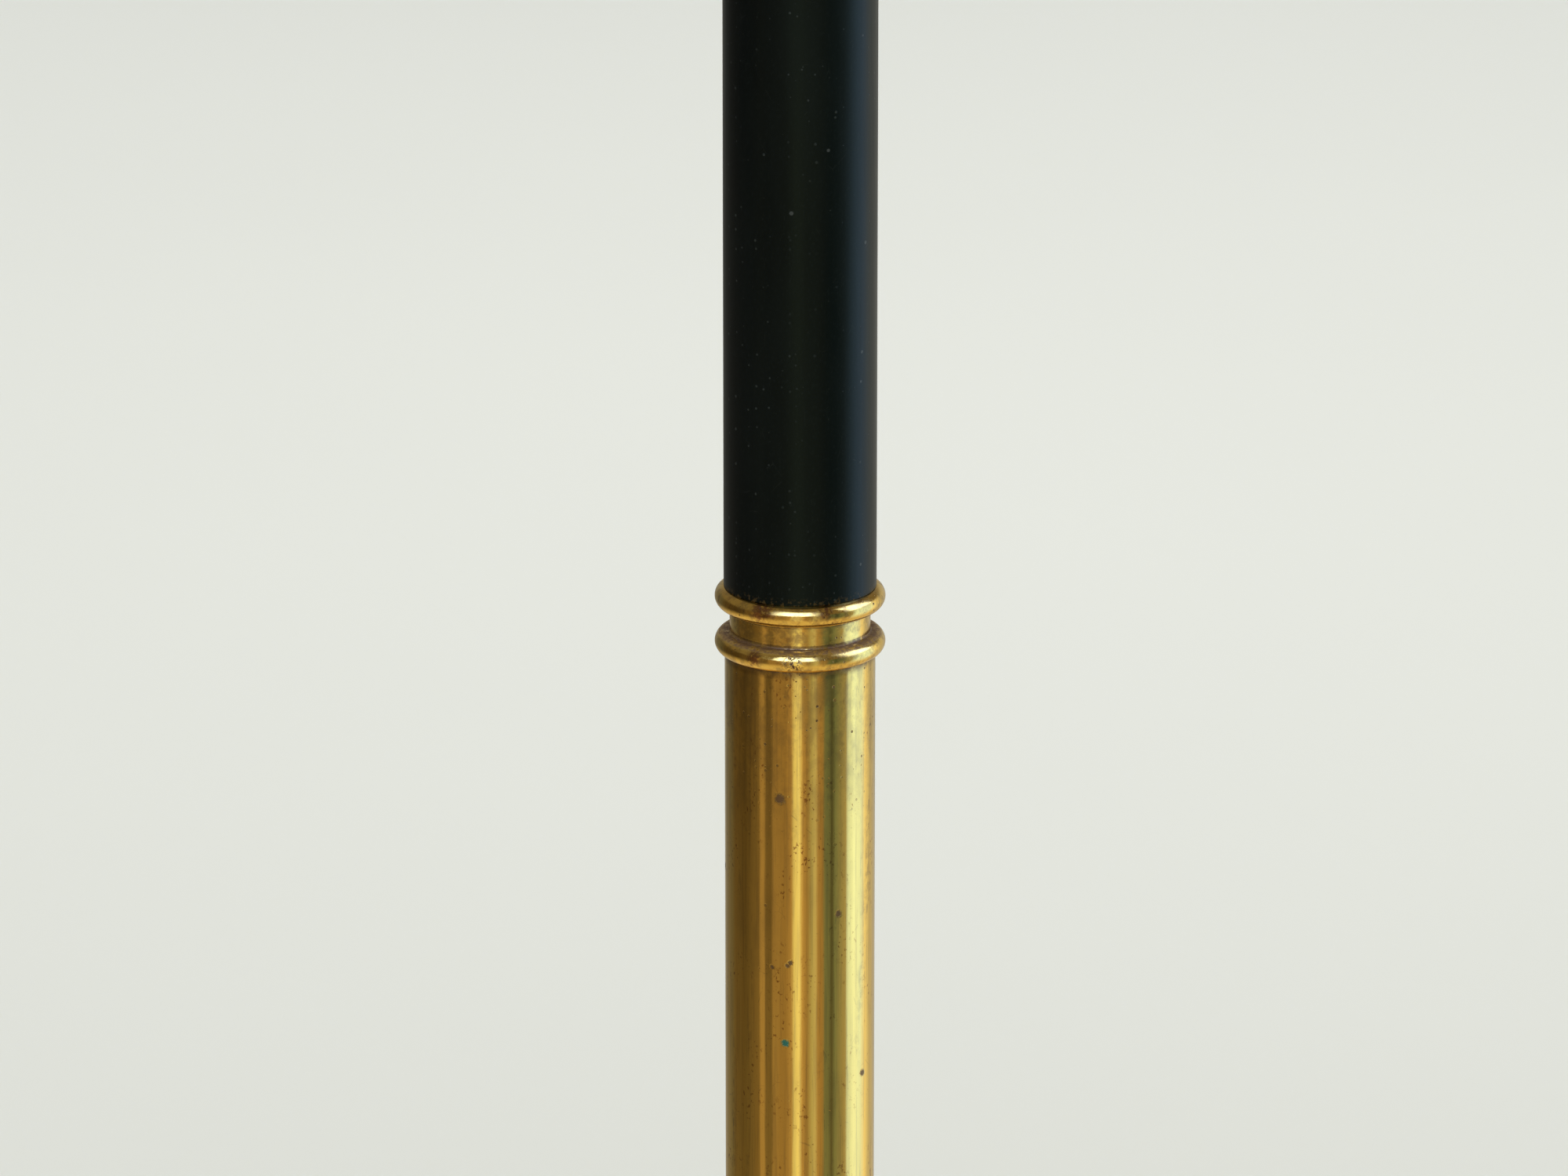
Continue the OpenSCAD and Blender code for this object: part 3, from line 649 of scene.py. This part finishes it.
def joint_collar():
    """Two round beads with a narrow neck between them, and a spigot in each barrel."""
    low_bead = front_z1 + bead_edge(front_r)
    high_bead = rear_z0 - bead_edge(rear_r)
    bore = neck_r - NECK_WALL
    neck_angle = bead_angle(neck_r)
    outline = [
        Vector((bore, front_z1 - SPIGOT_LEN)),
        Vector((front_r - BARREL_WALL, front_z1 - SPIGOT_LEN)),
        Vector((front_r - BARREL_WALL, front_z1)),
        *arc(bead_centre_r, low_bead, BEAD_R, -bead_angle(front_r), neck_angle - 8, step=5),
        Vector((neck_r + 0.15 * MM, low_bead + bead_edge(neck_r) + 0.25 * MM)),
        Vector((neck_r, low_bead + bead_edge(neck_r) + 0.6 * MM)),
        Vector((neck_r, high_bead - bead_edge(neck_r) - 0.6 * MM)),
        Vector((neck_r + 0.15 * MM, high_bead - bead_edge(neck_r) - 0.25 * MM)),
        *arc(bead_centre_r, high_bead, BEAD_R, 8 - neck_angle, bead_angle(rear_r), step=5),
        Vector((rear_r - BARREL_WALL, rear_z0)),
        Vector((rear_r - BARREL_WALL, rear_z0 + SPIGOT_LEN)),
        Vector((bore, rear_z0 + SPIGOT_LEN)),
    ]
    return brass("joint_collar", outline, "barrel", wiped=high_bead, longest=0.5 * MM)


def rear_barrel():
    outline = tube_outline(rear_r - BARREL_WALL, rear_r, rear_z0, rear_z1)
    return turn("rear_barrel", outline, FINISHES["black_lacquer"], "black_lacquer", "barrel",
                ["rear_barrel"], seams=(rear_z0, rear_z1))


def end_collar():
    """A bead like the joint collar's, a neck that holds the pin screws, and a smaller bead."""
    top = reach("end_collar")[2]
    low_bead = rear_z1 + bead_edge(rear_r)
    small_bead = top - SMALL_BEAD_R
    bore = reach("draw_1_tube")[0] + SLIDE_GAP + BUSH_1_WALL
    neck_top = small_bead - SMALL_BEAD_R
    outline = [
        Vector((bore, rear_z1 - SPIGOT_LEN)),
        Vector((rear_r - BARREL_WALL, rear_z1 - SPIGOT_LEN)),
        Vector((rear_r - BARREL_WALL, rear_z1)),
        *arc(bead_centre_r, low_bead, BEAD_R, -bead_angle(rear_r), bead_angle(neck_r) - 8, step=5),
        Vector((neck_r, low_bead + bead_edge(neck_r) + 0.5 * MM)),
        Vector((neck_r, neck_top - 0.1 * MM)),
        *arc(neck_r, small_bead, SMALL_BEAD_R, -84, 90, step=6),
        Vector((bore, top)),
    ]
    return brass("end_collar", outline, "barrel", longest=0.5 * MM)


def sunshade_stop_ring():
    outer, low, high = reach("sunshade_stop_ring")
    half = (high - low) / 2
    outline = [
        Vector((front_r, low)),
        *arc(outer - half, low + half, half, -90, 90, step=9),
        Vector((front_r, high)),
    ]
    return brass("sunshade_stop_ring", outline, "barrel", longest=0.6 * MM)


def objective_cell():
    """The flanged ring that holds the objective's lenses in the front barrel."""
    outer, low, high = reach("objective_cell")
    lens_r = reach("crown_lens")[0]
    seat = reach("flint_lens")[2]
    aperture = lens_r - 1.4 * MM
    outline = rounded(
        (lens_r, low, 0.3 * MM),
        (outer, low, 0.4 * MM),
        (outer, front_z0, 0.2 * MM),
        (front_r - BARREL_WALL, front_z0, 0),
        (front_r - BARREL_WALL, high, 0.2 * MM),
        (aperture, high, 0.2 * MM),
        (aperture, seat, 0.1 * MM),
        (lens_r, seat, 0),
    )
    return brass("objective_cell", outline, "barrel")


joint_collar()
rear_barrel()
end_collar()
sunshade_stop_ring()
objective_cell()
drawn("front_barrel", front_r - BARREL_WALL, "barrel", seams=(front_z0, front_z1))


# ---- Sunshade and cap

sunshade_r = reach("sunshade_tube")[0]
sunshade_bore = sunshade_r - SUNSHADE_WALL


def sunshade_front_ring():
    """The thickened mouth that the cap slides on, ending in a small bead."""
    bead = 0.8 * MM
    outer, low, high = reach("sunshade_front_ring")
    ring_r = outer - bead
    bead_z = high - bead
    outline = [
        Vector((sunshade_bore, low + 0.2 * MM)),
        Vector((sunshade_bore + 0.2 * MM, low)),
        Vector((ring_r - 0.3 * MM, low)),
        Vector((ring_r, low + 0.3 * MM)),
        *arc(ring_r, bead_z, bead, -90, 138, step=9),
        Vector((sunshade_r, low + 1 * MM)),
        Vector((sunshade_bore, low + 1 * MM)),
    ]
    return brass("sunshade_front_ring", outline, "sunshade", longest=0.8 * MM)


def sunshade_guide():
    """The bush that slides on the front barrel, with a milled grip at its rear."""
    outer, low, high = reach("sunshade_guide")
    bore = front_r + SLIDE_GAP
    grip_z = high - GRIP_LEN
    outline = rounded(
        (bore, low, 0.2 * MM),
        (sunshade_bore, low, 0.2 * MM),
        (sunshade_bore, grip_z, 0),
        (outer, grip_z, 0.5 * MM),
        (outer, high, 0.5 * MM),
        (bore, high, 0.3 * MM),
    )
    mill = (grip_z + 0.4 * MM, high - 0.4 * MM, 0.28 * MM, 128)
    return brass("sunshade_guide", outline, "sunshade", mill=mill, longest=1 * MM)


def objective_cap():
    """A push-on cap with a milled rim, two turned lines and a shallow recess under its floor."""
    outer, low, high = reach("objective_cap")
    half_rim = 1.8 * MM
    foot_r = outer - half_rim
    skirt_r = outer - 1.4 * MM
    bore = skirt_r - 1.5 * MM
    floor_top = reach("cap_lining")[1]
    recess_r = foot_r - 6 * MM
    recess_z = low + 0.6 * MM
    rim_end = math.degrees(math.acos((skirt_r - foot_r) / half_rim))
    outline = [
        Vector((0, recess_z)),
        Vector((recess_r - 0.3 * MM, recess_z)),
        Vector((recess_r, recess_z - 0.15 * MM)),
        Vector((recess_r + 0.1 * MM, low)),
        *arc(foot_r, half_rim, half_rim, -90, rim_end, step=9),
        *groove(skirt_r, low + 5.2 * MM, 0.3 * MM, 0.25 * MM),
        *groove(skirt_r, high - 2.6 * MM, 0.3 * MM, 0.25 * MM),
        *arc(skirt_r - 0.5 * MM, high - 0.5 * MM, 0.5 * MM, 0, 90, step=22.5),
        *arc(bore + 0.4 * MM, high - 0.4 * MM, 0.4 * MM, 90, 180, step=22.5),
        Vector((bore, floor_top)),
        Vector((0, floor_top)),
    ]
    mill = (low + 0.7 * MM, low + 3.1 * MM, 0.3 * MM, 132)
    return brass("objective_cap", outline, "cap", mill=mill, longest=1.2 * MM)


def cap_lining():
    """A felt disc whose edge is soft and not quite even."""
    outer, low, high = reach("cap_lining")
    outline = rounded((0, low, 0), (outer, low, 0.2 * MM), (outer, high, 0.5 * MM), (0, high, 0))
    return turn("cap_lining", outline, FINISHES["red_felt"], "red_felt", "cap", ["cap_lining"],
                mill=(low, high, 0.15 * MM, 41), longest=1 * MM)


sunshade_front_ring()
sunshade_guide()
objective_cap()
cap_lining()
drawn("sunshade_tube", sunshade_bore, "sunshade")


# ---- Draws

draw_1_r = reach("draw_1_tube")[0]
draw_2_r = reach("draw_2_tube")[0]
bush_2_r = draw_2_r + SLIDE_GAP + BUSH_2_WALL


def draw_1_collar():
    """The larger draw's end: a milled flange, a short neck and a bead."""
    outer, low, high = reach("draw_1_collar")
    bead = 2 * MM
    bead_r = draw_1_r + 0.1 * MM
    body_r = draw_1_r + 0.6 * MM
    flange_z = low + COLLAR_FLANGE_LEN
    outline = [
        Vector((bush_2_r, low)),
        *arc(outer - 0.5 * MM, low + 0.5 * MM, 0.5 * MM, -90, 0, step=22.5),
        *arc(outer - 0.5 * MM, flange_z - 0.5 * MM, 0.5 * MM, 0, 90, step=22.5),
        Vector((body_r, flange_z)),
        *arc(bead_r, high - bead, bead, -75, 90, step=7.5),
        Vector((bush_2_r, high)),
    ]
    mill = (low + 0.4 * MM, flange_z - 0.4 * MM, 0.28 * MM, 108)
    return brass("draw_1_collar", outline, "draw_1", mill=mill, longest=0.8 * MM)


def draw_2_collar():
    """The smaller draw's end: a milled flange, a neck and a small bead."""
    outer, low, high = reach("draw_2_collar")
    bead = 1.3 * MM
    body_r = draw_2_r + 1.6 * MM
    flange_z = low + COLLAR_FLANGE_LEN
    outline = [
        Vector((draw_2_r, low)),
        *arc(outer - 0.5 * MM, low + 0.5 * MM, 0.5 * MM, -90, 0, step=22.5),
        *arc(outer - 0.5 * MM, flange_z - 0.5 * MM, 0.5 * MM, 0, 90, step=22.5),
        Vector((body_r, flange_z)),
        *arc(body_r, high - bead, bead, -90, 90, step=9),
        Vector((draw_2_r, high)),
    ]
    mill = (low + 0.4 * MM, flange_z - 0.4 * MM, 0.28 * MM, 98)
    return brass("draw_2_collar", outline, "draw_2", mill=mill, longest=0.8 * MM)


draw_1_collar()
draw_2_collar()
drawn("draw_1_tube", draw_1_r - DRAW_1_WALL, "draw_1")
drawn("draw_2_tube", draw_2_r - DRAW_2_WALL, "draw_2")


# ---- Eyepiece

def eye_cap():
    """The screwed cap over the eye lens: a milled side, and a pocket on top for the shutter."""
    outer, low, high = reach("eye_cap")
    side_z = reach("draw_2_collar")[2]
    bore = draw_2_r - DRAW_2_WALL
    pocket_r = outer - 1.7 * MM
    pocket_z = high - 1.4 * MM
    floor_z = pocket_z - 1.6 * MM
    outline = rounded(
        (EYE_HOLE_R, floor_z, 0.1 * MM),
        (bore, floor_z, 0),
        (bore, low, 0),
        (draw_2_r, low, 0),
        (draw_2_r, side_z, 0),
        (outer, side_z, 0.4 * MM),
        (outer, side_z + 2.2 * MM, 0.1 * MM),
        (outer - 0.35 * MM, side_z + 2.45 * MM, 0.1 * MM),
        (outer, side_z + 2.7 * MM, 0.1 * MM),
        (outer, high - 2.7 * MM, 0.1 * MM),
        (outer - 0.35 * MM, high - 2.45 * MM, 0.1 * MM),
        (outer, high - 2.2 * MM, 0.1 * MM),
        (outer, high, 0.3 * MM),
        (pocket_r, high, 0.1 * MM),
        (pocket_r, pocket_z, 0),
        (EYE_HOLE_R, pocket_z, 0.1 * MM),
    )
    mill = (side_z + 3.1 * MM, high - 3.1 * MM, 0.25 * MM, 94)
    return brass("eye_cap", outline, "draw_2", mill=mill, longest=0.8 * MM)


eye_cap()


# ---- CAD nodes whose shape stays

def keep(slot, *nodes):
    """Shows CAD nodes as they are, in the finish of that slot."""
    for name in nodes:
        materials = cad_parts[name].data.materials
        materials.clear()
        materials.append(FINISHES[slot])


keep("turned_brass", "end_collar_screws", "barrel_spring_bush", "draw_1_stop_ring",
     "draw_1_spring_bush", "draw_2_stop_ring", "erector_front_cell", "erector_front_ring",
     "erector_rear_cell", "erector_rear_ring", "eyepiece_tube", "shutter_screw", "shutter_leaf",
     "shutter_knob")
keep("blackened_brass", "objective_ring", "front_baffle", "erector_tube", "erector_stop",
     "field_lens_ring", "field_stop", "eye_lens_cell", "eye_lens_ring")
keep("lens_glass", "crown_lens", "flint_lens", "erector_front_lens", "erector_rear_lens",
     "field_lens", "eye_lens")
keep("black_lacquer", "eye_cup")


# ---- Floor, light and camera

def pale_stage():
    """A wide flat floor, which the brass doesn't mirror: the room's lower part stands for it there."""
    bpy.ops.mesh.primitive_plane_add(size=80)
    floor = bpy.context.object
    floor.name = "floor"
    floor.data.materials.append(pale_floor())
    floor.visible_glossy = False


PAPER = (1.0, 0.98, 0.86)
AMBER = (1.0, 0.72, 0.44)
STRAW = (1.0, 1.03, 0.84)
OLIVE = (0.70, 1.0, 1.0)
DAYLIGHT = (0.70, 1.0, 1.62)

# What the polished surfaces mirror, round the horizon: degrees to the right of the camera, tint and
# strength
ROOM = (
    (-180, PAPER, 0.42), (-150, PAPER, 0.17), (-130, PAPER, 0.11), (-118, AMBER, 0.09),
    (-92, AMBER, 0.07), (-66, AMBER, 0.17), (-63, AMBER, 0.39), (-57, AMBER, 0.38),
    (-54, AMBER, 0.15), (-45, AMBER, 0.14), (-42, AMBER, 0.33), (-22, AMBER, 0.32),
    (-13, AMBER, 0.46), (-9, STRAW, 0.90), (-1, STRAW, 1.12), (4, AMBER, 0.56),
    (11, AMBER, 0.33), (19, STRAW, 0.52), (24, PAPER, 0.62), (28, AMBER, 0.42),
    (35, AMBER, 0.36), (39, OLIVE, 0.21), (47, OLIVE, 0.18), (50, OLIVE, 0.05),
    (56, OLIVE, 0.25), (75, PAPER, 0.42), (79, DAYLIGHT, 1.25), (92, DAYLIGHT, 1.75),
    (108, DAYLIGHT, 1.5), (120, PAPER, 1.1), (135, PAPER, 0.6), (180, PAPER, 0.42),
)
ROOM_STRENGTH = 2.0

# What they mirror well below the horizon and above it
LOWER_ROOM = (0.38, 0.32, 0.21)
UPPER_ROOM = (0.10, 0.085, 0.065)

# Windows above head height: the middle and half the width, in degrees round the horizon
HIGH_WINDOWS = ((-8, 28), (94, 22))
WINDOW_LIGHT = (1.5, 1.9, 3.4)
WINDOW_SOFTNESS = 5

# The plain light from all round, and how bright the far floor looks beside it, so that they meet unseen
SKY = (0.715, 0.725, 0.697)
FLOOR_SHADE = 0.8


def soft_room():
    """Plain pale light all round for the floor and matt surfaces, and soft upright bands for gloss."""
    world = bpy.data.worlds.new("soft_room")
    world.use_nodes = True
    bpy.context.scene.world = world
    tree = world.node_tree
    tree.nodes.clear()

    def node(kind, **settings):
        made = tree.nodes.new(kind)
        for name, value in settings.items():
            setattr(made, name, value)
        return made

    def link(source, target):
        tree.links.new(source, target)

    def ramp(value, low, high):
        made = node("ShaderNodeMapRange", interpolation_type="SMOOTHSTEP")
        made.inputs["From Min"].default_value = low
        made.inputs["From Max"].default_value = high
        link(value, made.inputs["Value"])
        return made.outputs["Result"]

    def mix(factor, first, second):
        made = node("ShaderNodeMix", data_type="RGBA")
        link(factor, made.inputs[0])
        for socket, colour in ((made.inputs[6], first), (made.inputs[7], second)):
            if isinstance(colour, bpy.types.NodeSocket):
                link(colour, socket)
            else:
                socket.default_value = (*colour, 1)
        return made.outputs[2]

    def maths(operation, first, second):
        made = node("ShaderNodeMath", operation=operation)
        for socket, value in ((made.inputs[0], first), (made.inputs[1], second)):
            if isinstance(value, bpy.types.NodeSocket):
                link(value, socket)
            else:
                socket.default_value = value
        return made.outputs[0]

    def times(*values):
        product = values[0]
        for value in values[1:]:
            product = maths("MULTIPLY", product, value)
        return product

    def beside(angle, centre, half_width):
        """1 within half_width of the centre, in degrees round the horizon, and softly 0 outside."""
        away = maths("ABSOLUTE", maths("SUBTRACT", angle, math.radians(centre)), 0)
        outside = math.radians(half_width + WINDOW_SOFTNESS)
        inside = math.radians(half_width - WINDOW_SOFTNESS)
        return ramp(away, outside, inside)

    def plain(colour):
        made = node("ShaderNodeBackground")
        made.inputs["Color"].default_value = (*colour, 1)
        return made

    def chosen(factor, first, second):
        made = node("ShaderNodeMixShader")
        link(factor, made.inputs["Fac"])
        link(first.outputs[0], made.inputs[1])
        link(second.outputs[0], made.inputs[2])
        return made

    direction = node("ShaderNodeSeparateXYZ")
    link(node("ShaderNodeTexCoord").outputs["Generated"], direction.inputs[0])
    towards_camera = maths("MULTIPLY", direction.outputs["Y"], -1)
    angle = maths("ARCTAN2", direction.outputs["X"], towards_camera)
    share = node("ShaderNodeMapRange")
    share.inputs["From Min"].default_value = -math.pi
    share.inputs["From Max"].default_value = math.pi
    link(angle, share.inputs["Value"])

    bands = node("ShaderNodeValToRGB")
    stops = bands.color_ramp.elements
    while len(stops) < len(ROOM):
        stops.new(1.0)
    for stop, (degrees, tint, strength) in zip(stops, ROOM):
        stop.position = (degrees + 180) / 360
        stop.color = (*[strength / ROOM_STRENGTH * part for part in tint], 1)
    link(share.outputs["Result"], bands.inputs["Fac"])

    up = direction.outputs["Z"]
    mirrored = mix(ramp(up, -0.24, -0.8), bands.outputs["Color"], LOWER_ROOM)
    mirrored = mix(ramp(up, 0.2, 0.4), mirrored, UPPER_ROOM)
    above_sill = ramp(up, 0.26, 0.36)
    below_lintel = ramp(up, 0.88, 0.72)
    for centre, half_width in HIGH_WINDOWS:
        pane = times(beside(angle, centre, half_width), above_sill, below_lintel)
        mirrored = mix(pane, mirrored, WINDOW_LIGHT)

    glossy_light = node("ShaderNodeBackground")
    link(mirrored, glossy_light.inputs["Color"])
    glossy_light.inputs["Strength"].default_value = ROOM_STRENGTH
    rays = node("ShaderNodeLightPath")
    lit = chosen(rays.outputs["Is Glossy Ray"], plain(SKY), glossy_light)
    seen = chosen(rays.outputs["Is Camera Ray"], lit, plain([FLOOR_SHADE * part for part in SKY]))
    link(seen.outputs[0], node("ShaderNodeOutputWorld").inputs["Surface"])


LAMP_COLOUR = (1.0, 0.995, 0.96)


def soft_light(name, place, target, size, power):
    """A large soft lamp that lights matt surfaces and isn't mirrored as a square."""
    data = bpy.data.lights.new(name, "AREA")
    data.size = size
    data.energy = power
    data.color = LAMP_COLOUR
    lamp = bpy.data.objects.new(name, data)
    lamp.location = place
    lamp.rotation_euler = (Vector(target) - Vector(place)).to_track_quat("-Z", "Y").to_euler()
    lamp.visible_glossy = False
    bpy.context.scene.collection.objects.link(lamp)


CAMERA_DISTANCE = 2.2258
CAMERA_ABOVE_JOINT = 0.6890
CAMERA_TILT = -17.013
CAMERA_LENS_MM = 204.5
AIM_LEFT = 4.2 * MM
JOINT_HEIGHT = (front_z1 + rear_z0) / 2


def photo_camera():
    """Looks along +Y and down at the joint collar, from a little over two metres away."""
    data = bpy.data.cameras.new("camera")
    data.sensor_width = 36
    data.lens = CAMERA_LENS_MM
    data.clip_start = 0.05
    data.clip_end = 100
    camera = bpy.data.objects.new("camera", data)
    camera.location = (0, -CAMERA_DISTANCE, JOINT_HEIGHT + CAMERA_ABOVE_JOINT)
    turned_left = math.atan(AIM_LEFT / CAMERA_DISTANCE)
    camera.rotation_euler = (math.radians(90 + CAMERA_TILT), 0, turned_left)
    bpy.context.scene.collection.objects.link(camera)
    bpy.context.scene.camera = camera


pale_stage()
soft_room()
soft_light("overhead", place=(0.15, 0.95, 1.8), target=(0.1, 0.9, 0), size=0.9, power=10)
photo_camera()
bpy.context.scene.view_settings.view_transform = "Standard"
